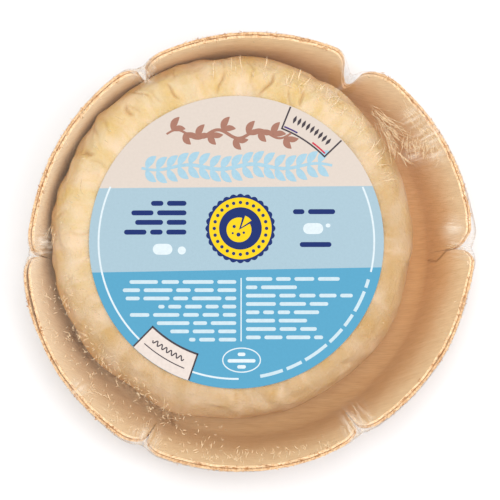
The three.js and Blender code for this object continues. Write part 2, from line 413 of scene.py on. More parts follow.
def make_ply(name, inner, outer, fray_seed, opening, material, recess=0.0):
    """One ply of the tray between two distances out from the inner face, cut into petals above the slits."""
    turn = petal_index + column_share
    ring = around(turn * 2 * np.pi / PETALS)
    rim_place = ring * RIM_RADIUS
    fray = 0.05 * random_field(rim_place, 2.2, fray_seed)
    fray += 0.035 * random_field(rim_place, 0.45, fray_seed + 1)
    top = ply_top(petal_index, column_share, fray * (1 + 6 * recess) + recess)
    rows_base = np.linspace(-BASE_RADIUS, 0, BASE_STEPS + 1)
    rows_bend = np.linspace(0, 1, BEND_STEPS + 1)[1:]
    slit_row = len(rows_base) + len(rows_bend)
    flank_height = top - LIP - SLIT_FOOT
    rows_flank = [SLIT_FOOT + flank_height * step / (FLANK_STEPS - 1) for step in range(FLANK_STEPS)]
    rows_flank += [top - LIP * 0.5, top]
    rows = slit_row + len(rows_flank)
    gap_start = HALF_GAP[petal_index] / PETAL_WIDTH
    gap_end = HALF_GAP[(petal_index + 1) % PETALS] / PETAL_WIDTH
    points, sheet, depth, edge = [], [], [], []
    for outward, other in ((inner, outer), (outer, inner)):
        for row in range(rows):
            if row < len(rows_base):
                share_angle, length = 0.0, np.full(len(turn), rows_base[row])
            elif row < slit_row:
                share_angle, length = rows_bend[row - len(rows_base)], np.zeros(len(turn))
            else:
                share_angle, length = 1.0, rows_flank[row - slit_row]
            up = np.clip((length - SLIT_FOOT) / (PETAL_LENGTH - SLIT_FOOT), 0, 1)
            opened = np.sqrt(np.clip(up * 2.2, 0, 1))
            # Lapping petals only butt together until they lean clear of each other near the top
            lapped = smooth_step(0.87, 1.0, up)
            start_gap, end_gap = (
                np.where(gap < 0, gap * lapped + BUTT_GAP * (1 - lapped), gap * opened)
                for gap in (gap_start, gap_end)
            )
            along = column_share * (1 - start_gap - end_gap) + start_gap
            direction, slope = flank(petal_index, along)
            from_start = column_share * PETAL_WIDTH
            from_end = (1 - column_share) * PETAL_WIDTH
            lean = EDGE_LEAN[petal_index, 0] * np.exp(-((from_start / LEAN_REACH) ** 2))
            lean += EDGE_LEAN[petal_index, 1] * np.exp(-((from_end / LEAN_REACH) ** 2))
            warp = 0.10 * random_field(rim_place, 14, 5) * up
            out = outward + (lean * up**1.5) + warp + opening(petal_index + along) * up**3
            if row == rows - 1:
                out = out + (LIP_CHAMFER if outward < other else -LIP_CHAMFER)
            points.append(on_tray(direction, share_angle * slope, length, out))
            flat = BASE_RADIUS + share_angle * slope * BEND_RADIUS + length
            sheet.append(
                np.stack([direction[:, 0] * flat, direction[:, 1] * flat, np.full(len(turn), outward)], -1)
            )
            depth.append((length if share_angle == 1.0 else 0 * length) / PETAL_LENGTH)
            edge.append(np.full(len(turn), 1.0 if row >= rows - 1 else 0.0))
    # Points were gathered row by row; the grid wants them column by column
    per_face = rows * len(turn)

    def by_column(parts):
        stacked = np.stack(parts)
        halves = [stacked[:rows], stacked[rows:]]
        return np.concatenate([np.swapaxes(h, 0, 1).reshape(per_face, *h.shape[2:]) for h in halves])

    points, sheet, depth, edge = (by_column(part) for part in (points, sheet, depth, edge))
    faces = []
    for petal in range(PETALS):
        first = petal * (COLUMNS + 1) * rows
        faces += grid_faces(first, COLUMNS + 1, rows)
        faces += grid_faces(per_face + first, COLUMNS + 1, rows, turned=True)
        for column in range(COLUMNS):
            a = first + column * rows + rows - 1
            faces.append((a, a + rows, a + rows + per_face, a + per_face))
        for column in (0, COLUMNS):
            a = first + column * rows
            for row in range(slit_row, rows - 1):
                faces.append((a + row, a + row + 1, a + row + 1 + per_face, a + row + per_face))
    flat = points[:, :2] - RIM_CENTRE
    bearings = np.degrees(np.arctan2(flat[:, 1], flat[:, 0])) % 360
    soak_and_shade, pale_and_lit, drab = (np.interp(bearings, np.arange(0, 361, 30), by) for by in (DAMP_AND_SHADE, UNSTAINED_AND_LIT, DRAB))
    from_foot_band = distance_to(points[:, :2], CHEESE_FOOT_BAND_START, CHEESE_FOOT_BAND_END)
    from_crease = np.min([distance_to(points[:, :2], a, b) for a, b in zip(CREASE, CREASE[1:])], axis=0)
    # The painted highlight: the wood round this spot is painted pale and kept clear of the stain
    bump = np.exp(-((np.linalg.norm(points[:, :2] - PAINTED_HIGHLIGHT_SPOT, axis=1) / 1.9) ** 2))
    # These attributes carry painted light and shade as well as the wood's own damp stain
    attributes = {
        "sheet": sheet,
        "depth": depth,
        "cut_edge": edge,
        "soak_and_shade": soak_and_shade * (1 - bump),
        "pale_and_lit": np.maximum(pale_and_lit, bump) * (1.0 if inner == 0 else 0.4),
        "drab": drab,
        "foot_shadow": np.exp(-((from_foot_band / 1.7) ** 2)) * (inner == 0),
        "crease_shadow": np.exp(-((from_crease / 0.19) ** 2)) * (inner == 0),
    }
    return make_piece(name, points, faces, [material], attributes, weld=1e-3)


# Where the plies have come apart, as bearing, reach and gape
SPLITS = [(192, 9.0, 0.44), (214, 5.0, 0.12), (333, 6.0, 0.10)]


def split_between_plies(turn):
    """How far the glue has let go at a place round the rim: the plies gape at the lower left."""
    degrees = FIRST_NOTCH + turn * 60
    return sum(gape * np.exp(-(((degrees - middle) / reach) ** 2)) for middle, reach, gape in SPLITS)


# Pale tone for unstained wood, for painted light on the left walls and for a painted highlight
PALE_AND_LIT_TONE = "#fbead0"
DRAB_TONE = "#d0b592"
# Painted contact shadow where the cheese's foot meets the wood, partly damp wood
FOOT_SHADOW_TONE = "#8f6238"
# Painted shadow in the crease where one petal laps over the next
CREASE_SHADOW_TONE = "#a06f3a"


def make_veneer_material(name, grain_turn, pale, tan, stain, edge_pale, edge_dark):
    """Poplar veneer, rotary peeled and press moulded: long faint grain and a silky dull face, with a fibrous
    cut edge and a brown stain where the cheese's damp has soaked in. Painted shade deepens that stain low on
    the flanks, and painted light, a painted highlight and painted shadows lie over it in places."""
    material, tree = new_material(name)
    sheet = add(tree, "Attribute", attribute_name="sheet")
    depth = add(tree, "Attribute", attribute_name="depth").outputs["Fac"]
    cut_edge = add(tree, "Attribute", attribute_name="cut_edge").outputs["Fac"]
    # Grain about 1 mm wide and 25 mm long, with finer pores of 0.2 mm
    grain_lie = add(
        tree, "Mapping", {0: sheet.outputs["Vector"], "Rotation": (0, 0, grain_turn), "Scale": (0.04, 0.9, 1)}
    )
    grain = add(tree, "TexNoise", {"Vector": grain_lie, "Scale": 1.0, "Detail": 5.0, "Roughness": 0.6})
    pore_lie = add(
        tree, "Mapping", {0: sheet.outputs["Vector"], "Rotation": (0, 0, grain_turn), "Scale": (0.35, 5.0, 5)}
    )
    pores = add(tree, "TexNoise", {"Vector": pore_lie, "Scale": 1.0, "Detail": 3.0})
    grain_tone = add(tree, "ValToRGB", {"Fac": grain}, stops=[(0.3, tan), (0.7, pale)])
    # Painted pale: fresh wood, painted light on the left walls and a painted highlight
    pale_and_lit = add(tree, "Attribute", attribute_name="pale_and_lit").outputs["Fac"]
    wood = add(tree, "Mix", {0: pale_and_lit, 6: grain_tone, 7: to_linear(PALE_AND_LIT_TONE)}, data_type="RGBA").outputs[2]
    pore_tone = add(tree, "ValToRGB", {"Fac": pores}, stops=[(0.3, "#d8c8b4"), (0.6, "#ffffff")])
    faced = add(
        tree, "Mix", {0: 0.45, 6: wood, 7: pore_tone}, data_type="RGBA", blend_type="MULTIPLY"
    ).outputs[2]
    # The stain is strongest low on the flank, deepened there as painted shade beside the cheese, and breaks up
    # in soft tongues about 6 mm across
    blotch = add(tree, "TexNoise", {"Vector": sheet.outputs["Vector"], "Scale": 0.16, "Detail": 3.0})
    shifted = add(tree, "Math", {0: blotch, 1: 0.36, 2: -0.18}, operation="MULTIPLY_ADD")
    stain_line = add(tree, "Math", {0: depth, 1: shifted}, operation="ADD")
    stain_and_shade_rise = add(
        tree, "MapRange", {0: stain_line, 1: 0.15, 2: 1.0, 3: 1.0, 4: 0.0}, interpolation_type="SMOOTHSTEP"
    )
    soak_and_shade = add(tree, "Attribute", attribute_name="soak_and_shade").outputs["Fac"]
    stain_and_shade_share = add(tree, "Math", {0: stain_and_shade_rise, 1: soak_and_shade}, operation="MULTIPLY")
    drab = add(tree, "Attribute", attribute_name="drab").outputs["Fac"]
    stain_tone = add(
        tree, "Mix", {0: drab, 6: to_linear(stain), 7: to_linear(DRAB_TONE)}, data_type="RGBA"
    ).outputs[2]
    stained_and_shaded = add(
        tree,
        "Mix",
        {0: stain_and_shade_share, 6: faced, 7: stain_tone},
        data_type="RGBA",
        blend_type="MULTIPLY",
    ).outputs[2]
    # Painted contact shadow over damp fibre along the foot, broken up about every 1.5 mm
    ragged_noise = add(
        tree, "TexNoise", {"Vector": sheet.outputs["Vector"], "Scale": 0.9, "Detail": 5.0, "Roughness": 0.7}
    )
    ragged_share = add(tree, "MapRange", {0: ragged_noise, 1: 0.42, 2: 0.62, 3: 0.0, 4: 0.75})
    foot_shadow = add(tree, "Attribute", attribute_name="foot_shadow").outputs["Fac"]
    foot_shadow_share = add(tree, "Math", {0: ragged_share, 1: foot_shadow}, operation="MULTIPLY")
    stained_and_shaded = add(
        tree, "Mix", {0: foot_shadow_share, 6: stained_and_shaded, 7: to_linear(FOOT_SHADOW_TONE)}, data_type="RGBA"
    ).outputs[2]
    # A painted shadow line along the lapped notch's crease
    crease_shadow = add(tree, "Attribute", attribute_name="crease_shadow").outputs["Fac"]
    stained_and_shaded = add(
        tree, "Mix", {0: crease_shadow, 6: stained_and_shaded, 7: to_linear(CREASE_SHADOW_TONE)}, data_type="RGBA"
    ).outputs[2]
    fibre = add(tree, "TexNoise", {"Vector": sheet.outputs["Vector"], "Scale": 2.2, "Detail": 4.0})
    edge_tone = add(tree, "ValToRGB", {"Fac": fibre}, stops=[(0.36, edge_dark), (0.6, edge_pale)])
    colour = add(tree, "Mix", {0: cut_edge, 6: stained_and_shaded, 7: edge_tone}, data_type="RGBA").outputs[2]
    relief = add(tree, "Math", {0: grain, 1: 0.5, 2: pores}, operation="MULTIPLY_ADD")
    bump = add(tree, "Bump", {"Height": relief, "Strength": 0.35, "Distance": 0.08 * MM})
    shader = add(
        tree,
        "BsdfPrincipled",
        {"Base Color": colour, "Roughness": 0.58, "IOR": 1.5, "Specular IOR Level": 0.35, "Normal": bump},
    )
    add(tree, "OutputMaterial", {"Surface": shader})
    return material


inner_wood = make_veneer_material(
    "peeled_poplar_inner_ply", 0.35, "#eed4ab", "#e5c79b", "#e9b878", "#f0d6b0", "#d8ab78"
)
outer_wood = make_veneer_material(
    "peeled_poplar_outer_ply", 0.35 + math.pi / 2, "#e6c598", "#d8b082", "#ecd0a8", "#e9c79c", "#bd8a58"
)
inner_ply = make_ply("inner_ply", 0.0, PLY, 11, lambda turn: 0 * turn, inner_wood)
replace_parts(inner_ply, "tray_inner_veneer")
outer_ply = make_ply(
    "outer_ply", PLY + PLY_GAP, TRAY_THICKNESS, 17, split_between_plies, outer_wood
)
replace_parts(outer_ply, "tray_outer_veneer")


def make_glue_material():
    """Hot-pressed resin glue squeezed out brown between the plies: dark, uneven and a little glassy."""
    material, tree = new_material("hot_pressed_brown_glue_line")
    sheet = add(tree, "Attribute", attribute_name="sheet").outputs["Vector"]
    # Beads and starved places follow each other about every 1.5 mm
    beads = add(tree, "TexNoise", {"Vector": sheet, "Scale": 0.7, "Detail": 4.0, "Roughness": 0.7})
    tone = add(tree, "ValToRGB", {"Fac": beads}, stops=[(0.36, "#7d4a20"), (0.62, "#c98f52")])
    shader = add(tree, "BsdfPrincipled", {"Base Color": tone, "Roughness": 0.45, "IOR": 1.55})
    add(tree, "OutputMaterial", {"Surface": shader})
    return material


GLUE_CLEARANCE = 0.004
GLUE_RECESS = 0.12
glue_line = make_ply(
    "glue_line",
    PLY + GLUE_CLEARANCE,
    PLY + PLY_GAP - GLUE_CLEARANCE,
    23,
    lambda turn: 0 * turn,
    make_glue_material(),
    GLUE_RECESS,
)
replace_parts(glue_line, "tray_outer_veneer")

# ------------------------------------------------------------------------------------------------
# Cheese
# ------------------------------------------------------------------------------------------------

CHEESE_COLUMNS = 720
SLUMP_CLEARANCE = 0.06
SLUMP_TOP = 14.0
SLUMP_INSIDE = 30  # nothing this near the middle can reach the flanks
RIND_LOOP = 34  # the radius at which the rind's pattern is true to size


def cheese_profile():
    """Points from the middle of the top to the middle of the foot, as radius and height above the floor."""
    height = CHEESE_TOP - TRAY_FLOOR
    line = [(r, height) for r in np.concatenate([np.linspace(0, 27, 10)[:-1], np.arange(27, 32.2, 0.4)])]
    for angle in np.radians(np.arange(4, 91, 4)):
        line.append(
            (
                CHEESE_RADIUS - CHEESE_SHOULDER + CHEESE_SHOULDER * math.sin(angle),
                height - CHEESE_SHOULDER + CHEESE_SHOULDER * math.cos(angle),
            )
        )
    for share in np.linspace(0.06, 0.94, 20):
        z = (height - CHEESE_SHOULDER) * (1 - share) + CHEESE_FOOT * share
        bulge = CHEESE_FULLNESS * math.sin(math.pi * share) * 0.5
        line.append((CHEESE_RADIUS + bulge - CHEESE_FULLNESS * share, z))
    for angle in np.radians(np.arange(0, 91, 9)):
        line.append(
            (
                CHEESE_RADIUS - CHEESE_FULLNESS - CHEESE_FOOT + CHEESE_FOOT * math.cos(angle),
                CHEESE_FOOT - CHEESE_FOOT * math.sin(angle),
            )
        )
    line += [(r, 0.0) for r in (24.0, 12.0, 0.0)]
    return np.array(line)


# The deepest furrows, as bearing, distance from the middle, reach, width, lean and depth
DEEP_FURROWS = [
    (112.8, 32.6, 2.3, 0.30, 0.35, 1.3),
    (94.4, 31.9, 2.4, 0.30, -0.28, 1.25),
    (76.5, 32.4, 2.8, 0.28, -0.35, 1.6),
    (63.0, 32.0, 1.8, 0.30, 0.4, 1.2),
    (130.0, 34.2, 1.8, 0.36, -0.2, 1.4),
    (151.0, 36.0, 2.2, 0.4, 0.3, 1.3),
    (24.0, 36.5, 2.4, 0.4, 0.2, 1.2),
]


def make_cheese(material):
    """The cheese: a low round with soft lumps and slack radial furrows in its rind."""
    profile = cheese_profile()
    rows = len(profile)
    turn = np.linspace(0, 2 * np.pi, CHEESE_COLUMNS, endpoint=False)
    ring = around(turn)
    radius = profile[:, 0][None, :, None]
    base = np.concatenate(
        [
            ring[:, None, :] * radius + CHEESE_CENTRE,
            np.broadcast_to(profile[:, 1][None, :, None] + TRAY_FLOOR, (len(turn), rows, 1)),
        ],
        -1,
    )
    steps = np.gradient(profile, axis=0)
    normal = np.stack([-steps[:, 1], steps[:, 0]], -1)
    normal /= np.maximum(np.linalg.norm(normal, axis=1)[:, None], 1e-6)
    path = np.concatenate([[0], np.cumsum(np.linalg.norm(np.diff(profile, axis=0), axis=1))])
    wild = smooth_step(26, 31, profile[:, 0])  # the middle lies flat under the label
    wild *= smooth_step(0.5, 4.0, profile[:, 1])
    # The rind is slacker and more wrinkled at the back and left than at the front and right
    slack = 0.45 + 0.55 * smooth_step(-0.5, 0.6, ring @ np.array([-0.45, 0.9]))
    lumps = 0.34 * random_field(base, 6.5, 21) + 0.24 * random_field(base, 2.4, 22)
    sides = 0.5 - 0.5 * np.cos(9 * turn + 1.3 * np.sin(2 * turn))
    sunk = np.clip(0.30 + lumps, 0, 1.3)
    # The belly spreads beyond the shoulder, most at the front and the back
    spread = 1.15 + 0.25 * np.abs(ring[:, 1]) - 0.3 * ring[:, 0] + 0.2 * ring[:, 1]
    spread += 0.25 * random_field(ring * 37, 9.0, 24)
    low_down = smooth_step(0.0, 7.0, CHEESE_TOP - TRAY_FLOOR - 2.0 - profile[:, 1])
    belly = low_down * smooth_step(-2.0, 3.0, profile[:, 1]) * (profile[:, 0] > 30)
    furrow = np.zeros((len(turn), rows))
    draw = np.random.default_rng(31)
    furrows, place = list(DEEP_FURROWS), 0.0
    while place < 360:
        place += draw.uniform(3.0, 13.0)
        middle, reach, width = draw.uniform(31.0, 40.0), draw.uniform(1.6, 4.6), draw.uniform(0.18, 0.40)
        lean, deep = draw.uniform(-0.5, 0.5), 0.8 * draw.uniform(0.25, 1.0) ** 1.5
        furrows.append((place, middle, reach, width, lean, deep))
    for place, middle, reach, width, lean, deep in furrows:
        offset = (turn[:, None] - math.radians(place) + np.pi) % (2 * np.pi) - np.pi
        sideways = offset * np.maximum(radius[..., 0], 20) - lean * (path[None, :] - middle)
        sideways = sideways + 0.35 * np.sin((path[None, :] - middle) * 1.1 + place)
        groove = np.exp(-((sideways / width) ** 2)) * np.exp(-(((path[None, :] - middle) / reach) ** 4))
        furrow = np.maximum(furrow, deep * groove)
    furrow *= slack[:, None]
    depth = (sunk * 0.6 + 0.5 * furrow) * wild[None, :] * (0.6 + 0.4 * slack[:, None])
    depth = depth + 0.2 * sides[:, None] * smooth_step(31, 37, profile[:, 0])[None, :] * wild[None, :]
    depth = depth - spread[:, None] * belly[None, :]
    points = base.copy()
    points[..., :2] -= ring[:, None, :] * (normal[None, :, 0] * depth)[..., None]
    points[..., 2] -= normal[None, :, 1] * depth
    points = points.reshape(-1, 3)
    # It has slumped against the tray: its foot takes the shape of the floor and the flanks
    points[:, 2] = np.maximum(points[:, 2], TRAY_FLOOR + SLUMP_CLEARANCE)
    tray_face = surface_of(inner_ply)
    for index in np.flatnonzero(points[:, 2] < SLUMP_TOP):
        point = points[index]
        reach = np.hypot(point[0], point[1])
        if reach > SLUMP_INSIDE:
            heading = Vector((point[0] / reach, point[1] / reach, 0))
            _, _, _, room = tray_face.ray_cast(Vector((0, 0, point[2])), heading)
            if room is not None and reach > room - SLUMP_CLEARANCE:
                point[:2] *= (room - SLUMP_CLEARANCE) / reach
    faces = []
    for column in range(len(turn)):
        after = (column + 1) % len(turn)
        for row in range(rows - 1):
            faces.append(
                (column * rows + row, column * rows + row + 1, after * rows + row + 1, after * rows + row)
            )
    # A loop in the second and third coordinates keeps the rind's pattern whole where the turn closes
    loop = RIND_LOOP * around(np.repeat(turn, rows))
    rind = np.column_stack([np.tile(path, len(turn)), loop])
    return make_piece(
        "ripened_cheese",
        points,
        faces,
        [material],
        {
            "rind": rind,
            "furrow": furrow.ravel(),
            "slack": np.repeat(slack, rows),
            "low": np.tile(smooth_step(0.0, 12.0, path - path[np.argmax(profile[:, 0] > 33)]), len(turn)),
        },
        crease=180,
        weld=1e-3,
    )


def make_rind_material():
    """Thin natural rind of a ripe soft cheese, drained in a mould and drawn in as it dried: butter
    yellow curd shows through a pinkish white bloom, soft light sinks in, and its face is damp."""
    material, tree = new_material("ripened_soft_cheese_rind")
    rind = add(tree, "Attribute", attribute_name="rind").outputs["Vector"]
    furrow = add(tree, "Attribute", attribute_name="furrow").outputs["Fac"]
    slack = add(tree, "Attribute", attribute_name="slack").outputs["Fac"]
    low = add(tree, "Attribute", attribute_name="low").outputs["Fac"]
    # Bloom in radial smears about 2 mm wide and 5 mm long
    smear_lie = add(tree, "Mapping", {0: rind, "Scale": (0.2, 0.5, 0.5)})
    smears = add(tree, "TexNoise", {"Vector": smear_lie, "Scale": 0.5, "Detail": 4.0, "Distortion": 0.6})
    smear_top = add(tree, "Math", {0: slack, 1: 0.5, 2: 0.15}, operation="MULTIPLY_ADD")
    smear_share = add(tree, "MapRange", {0: smears, 1: 0.42, 2: 0.68, 3: 0.0, 4: smear_top})
    patches = add(tree, "TexNoise", {"Vector": rind, "Scale": 0.2, "Detail": 3.0})
    # Butter yellow curd at the back and left; the front and right tanned, partly the rind's own tone and
    # partly painted shade on the side turned from the light
    curd = add(tree, "ValToRGB", {"Fac": patches}, stops=[(0.34, "#caa964"), (0.66, "#cfb88f")])
    tanned_and_shaded = add(tree, "ValToRGB", {"Fac": patches}, stops=[(0.34, "#a37b56"), (0.66, "#a98461")])
    ripe = add(tree, "Mix", {0: slack, 6: tanned_and_shaded, 7: curd}, data_type="RGBA").outputs[2]
    bloomed = add(
        tree, "Mix", {0: smear_share, 6: ripe, 7: to_linear("#dcc4ab")}, data_type="RGBA"
    ).outputs[2]
    grooved = add(
        tree,
        "Mix",
        {
            0: add(tree, "Math", {0: furrow, 1: 0.55}, operation="MULTIPLY"),
            6: bloomed,
            7: to_linear("#bd9056"),
        },
        data_type="RGBA",
    ).outputs[2]
    colour = add(
        tree,
        "Mix",
        {0: add(tree, "Math", {0: low, 1: 0.4}, operation="MULTIPLY"), 6: grooved, 7: to_linear("#d0a274")},
        data_type="RGBA",
    ).outputs[2]
    fine = add(tree, "TexNoise", {"Vector": rind, "Scale": 1.4, "Detail": 4.0})
    bump = add(tree, "Bump", {"Height": fine, "Strength": 0.6, "Distance": 0.4 * MM})
    shader = add(
        tree,
        "BsdfPrincipled",
        {
            "Base Color": colour,
            "Roughness": 0.5,
            "IOR": 1.45,
            "Subsurface Weight": 0.2,
            "Subsurface Radius": (1.0, 0.55, 0.25),
            "Subsurface Scale": 1.6 * MM,
            "Normal": bump,
        },
    )
    add(tree, "OutputMaterial", {"Surface": shader})
    return material


cheese = make_cheese(make_rind_material())
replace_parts(cheese, "cheese")

# ------------------------------------------------------------------------------------------------
# Shrink film
# ------------------------------------------------------------------------------------------------

FILM_COLUMNS = 130  # in each petal
LAP_ROOM, NOTCH_ROOM = 0.8, 0.2  # how far the film stands off the lapped notch and the others
GATHERED = np.array([0.35, 0.12, 0.9, 0.7, 0.7, 0.75])  # how tightly at each notch
WOOD_CLEARANCE = 0.05
WOOD_DEEPEST = 0.35  # a place deeper in the wood than this is left as it is


def film_slices():
    """Petal and place along it for each upright line of the film, closer together at the notches."""
    even = np.linspace(0, 1, FILM_COLUMNS, endpoint=False)
    along = 0.3 * even + 0.7 * (1 - np.cos(np.pi * even)) / 2
    return np.repeat(np.arange(PETALS), FILM_COLUMNS), np.tile(along, PETALS)


def film_drop(petal, along):
    """How far the film's top edge falls below a petal's full length as it bridges the notches."""
    drop = np.zeros(len(petal))
    for side in (0, 1):
        notch = (petal + side) % PETALS
        own = CORNERS[petal, side]
        neighbour = CORNERS[(petal + 2 * side - 1) % PETALS, 1 - side]
        distance = np.where(side == 0, along, 1 - along) * PETAL_WIDTH
        near = np.exp(-distance / 1.5)[:, None] / 2
        reach = own * (1 - near) + neighbour * near
        beyond = np.hypot(np.maximum(distance - HALF_GAP[notch], 0), FILM_BRIDGE[notch])
        drop += corner_drop(beyond, reach[:, 0], reach[:, 1])
        drop += FILM_SINK[notch] * (1 - smooth_step(0, np.maximum(HALF_GAP[notch], 0) + 0.6, distance))
    return drop


def film_lines(raised):
    """The film's face at a distance from what it wraps, as lines from the middle of the top, over the
    shoulder, across to the rim, down the outside and in under the base."""
    petal, along = film_slices()
    direction, slope = flank(petal, along)
    top = PETAL_LENGTH + raised - film_drop(petal, along)
    near_lap = np.exp(-((np.minimum(along, 1 - along) * PETAL_WIDTH / LEAN_REACH) ** 2))
    lap = ((petal == 0) & (along < 0.5)) | ((petal == PETALS - 1) & (along > 0.5))
    pushed = np.where(lap, LAP_ROOM, NOTCH_ROOM) * near_lap
    gape = split_between_plies(petal + along)
    inside = -raised - pushed
    outside = TRAY_THICKNESS + raised + pushed + gape
    rim = on_tray(direction, slope, top, inside)
    outer_rim = on_tray(direction, slope, top, outside)
    centre = np.array([*CHEESE_CENTRE, 0.0])
    shoulder = CHEESE_SHOULDER + raised
    from_cheese = np.linalg.norm(rim[:, :2] - CHEESE_CENTRE, axis=1)
    over = from_cheese - (CHEESE_RADIUS - CHEESE_SHOULDER)
    above = rim[:, 2] - (CHEESE_TOP - CHEESE_SHOULDER)
    leaving = np.arctan2(over, above) - np.arccos(shoulder / np.hypot(over, above))
    toward = (rim[:, :2] - CHEESE_CENTRE) / from_cheese[:, None]

    def around_cheese(radius, height):
        return np.concatenate([toward * radius[:, None] + CHEESE_CENTRE, height[:, None]], 1)

    lines = []
    flat_top = np.full(len(petal), CHEESE_TOP + raised)
    for radius in (0.0, 12.0, 22.0, 27.0, 29.5, 31.0, 32.2):
        lines.append(around_cheese(np.full(len(petal), radius), flat_top))
    for share in np.linspace(0, 1, 11)[1:]:
        angle = leaving * share
        lines.append(
            around_cheese(
                CHEESE_RADIUS - CHEESE_SHOULDER + shoulder * np.sin(angle),
                CHEESE_TOP - CHEESE_SHOULDER + shoulder * np.cos(angle),
            )
        )
    leaves = lines[-1]
    span_first = len(lines)
    for share in np.linspace(0, 1, 15)[1:]:
        lines.append(leaves + (rim - leaves) * share)
    span_last = len(lines) - 1
    crown = on_tray(direction, slope, top + 0.12, (inside + outside) / 2)
    for share in np.linspace(0, 1, 7)[1:-1]:
        bow = 4 * share * (1 - share)
        lines.append((rim + (outer_rim - rim) * share) * (1 - bow * 0.6) + bow * 0.6 * crown)
    lines.append(outer_rim)
    for share in np.linspace(1, 0, 12)[1:]:
        push = TRAY_THICKNESS + raised + (pushed + gape) * share**2
        lines.append(on_tray(direction, slope, top * share, push))
    for share in np.linspace(1, 0, 8)[1:]:
        lines.append(on_tray(direction, slope * share, np.zeros(len(petal)), TRAY_THICKNESS + raised))
    for radius in (34.0, 30.0, 26.0, 20.0, 14.0, 10.0, 8.0, 6.6, 6.0):
        height = np.full(len(petal), TRAY_FLOOR - TRAY_THICKNESS - raised)
        lines.append(np.concatenate([direction * radius, height[:, None]], 1))
    return np.stack(lines, 1), span_first, span_last, petal, along


# Patches where slack film has whitened, and one painted highlight, as x, y, reach and strength
FILM_WHITENED_AND_GLINT = [
    (39.5, 23.0, 2.8, 0.55),
    (40.5, 19.0, 2.4, 0.45),
    (36.5, 18.5, 2.2, 0.3),
    (36.5, 26.5, 2.4, 0.4),
    # A painted highlight on the film over the pressed bump on the right
    (44.6, 3.5, 1.5, 0.35),
    (24.5, -38.0, 2.8, 0.6),
    (-34.2, -31.0, 1.8, 0.45),
    (-19.0, -40.4, 1.8, 0.35),
    (-41.6, -0.4, 1.8, 0.6),
    (-20.0, 35.0, 1.4, 0.6),
    (45.5, -0.8, 1.4, 0.4),
]


# Soft domes of trapped air under the film, as x, y, reach and height
FILM_DOMES = [
    (43.6, 3.4, 1.9, 0.42),
    (40.2, 21.6, 1.6, 0.25),
    (34.0, 23.5, 1.3, 0.2),
    (25.5, -37.0, 1.4, 0.25),
]


def make_film(material):
    """The film: a thin closed sheet drawn tight over the cheese and the tray's rim, gathered underneath."""
    low, span_first, span_last, petal, along = film_lines(FILM_CLEARANCE)
    high = film_lines(FILM_CLEARANCE + FILM)[0]
    columns, rows = low.shape[:2]
    from_notch = np.minimum(along, 1 - along) * PETAL_WIDTH
    notch = np.where(along < 0.5, petal, (petal + 1) % PETALS)
    strength = GATHERED[notch]
    row_share = np.clip((np.arange(rows) - span_first) / (span_last - span_first), 0, None)
    outside = np.arange(rows) > span_last + 6
    near_rim = np.where(row_share <= 1, smooth_step(0.7, 1.0, row_share), 1.0)
    near_rim = np.where(outside, np.exp(-np.maximum(np.arange(rows) - span_last - 6, 0) / 5.0), near_rim)
    gather = (strength * np.exp(-((from_notch / 2.6) ** 2)))[:, None] * near_rim[None, :]
    turn = (petal + along) * 2 * np.pi / PETALS
    pleats = np.cos(turn * RIM_RADIUS * 2.3 + 2 * np.sin(turn * 17))
    ring = around(turn)
    flat = low.reshape(-1, 3)
    soft = random_field(flat * [1, 1, 0.5], 5.0, 41).reshape(columns, rows)
    on_span = ((np.arange(rows) >= span_first) & (np.arange(rows) < span_last)).astype(float)
    lift = 0.09 * gather * pleats[:, None] + 0.05 * soft * on_span[None, :]
    for x, y, reach, height in FILM_DOMES:
        lift = lift + height * np.exp(-((np.hypot(low[..., 0] - x, low[..., 1] - y) / reach) ** 2)) * on_span
    under = np.arange(rows) > rows - 9
    lift = lift + np.where(under[None, :], 0.035 * np.cos(turn * 48)[:, None], 0)
    across = np.roll(low, -1, 0) - np.roll(low, 1, 0)
    down = np.gradient(low, axis=1)
    normal = np.cross(across, down)
    normal /= np.maximum(np.linalg.norm(normal, axis=-1, keepdims=True), 1e-9)
    outward = np.sign((normal[:, span_last + 8] * (low[:, span_last + 8] - [0, 0, 10])).sum(-1).mean())
    normal *= outward
    low = low + normal * lift[..., None]
    high = high + normal * lift[..., None]
    for ply in (outer_ply, inner_ply):
        moves = clear_of(surface_of(ply), low.reshape(-1, 3), WOOD_CLEARANCE, WOOD_DEEPEST).reshape(low.shape)
        low, high = low + moves, high + moves
    points = np.concatenate([low.reshape(-1, 3), high.reshape(-1, 3)])
    faces = shell_faces(columns, rows)
    whitened_and_glint = gather.copy()
    for x, y, reach, amount in FILM_WHITENED_AND_GLINT:
        away = np.hypot(low[..., 0] - x, low[..., 1] - y)
        whitened_and_glint = np.maximum(whitened_and_glint, amount * np.exp(-((away / reach) ** 2)) * (low[..., 2] > 8))
    haze_and_glint = np.tile(whitened_and_glint.ravel(), 2)
    streak = np.stack(
        [
            np.broadcast_to(turn[:, None] * RIM_RADIUS, (columns, rows)),
            np.broadcast_to(np.arange(rows)[None, :] * 0.9, (columns, rows)),
            np.zeros((columns, rows)),
        ],
        -1,
    ).reshape(-1, 3)
    film = make_piece(
        "shrink_film",
        points,
        faces,
        [material],
        {"haze_and_glint": haze_and_glint, "streak": np.tile(streak, (2, 1))},
        crease=180,
        weld=1e-4,
    )
    return film, high, span_last


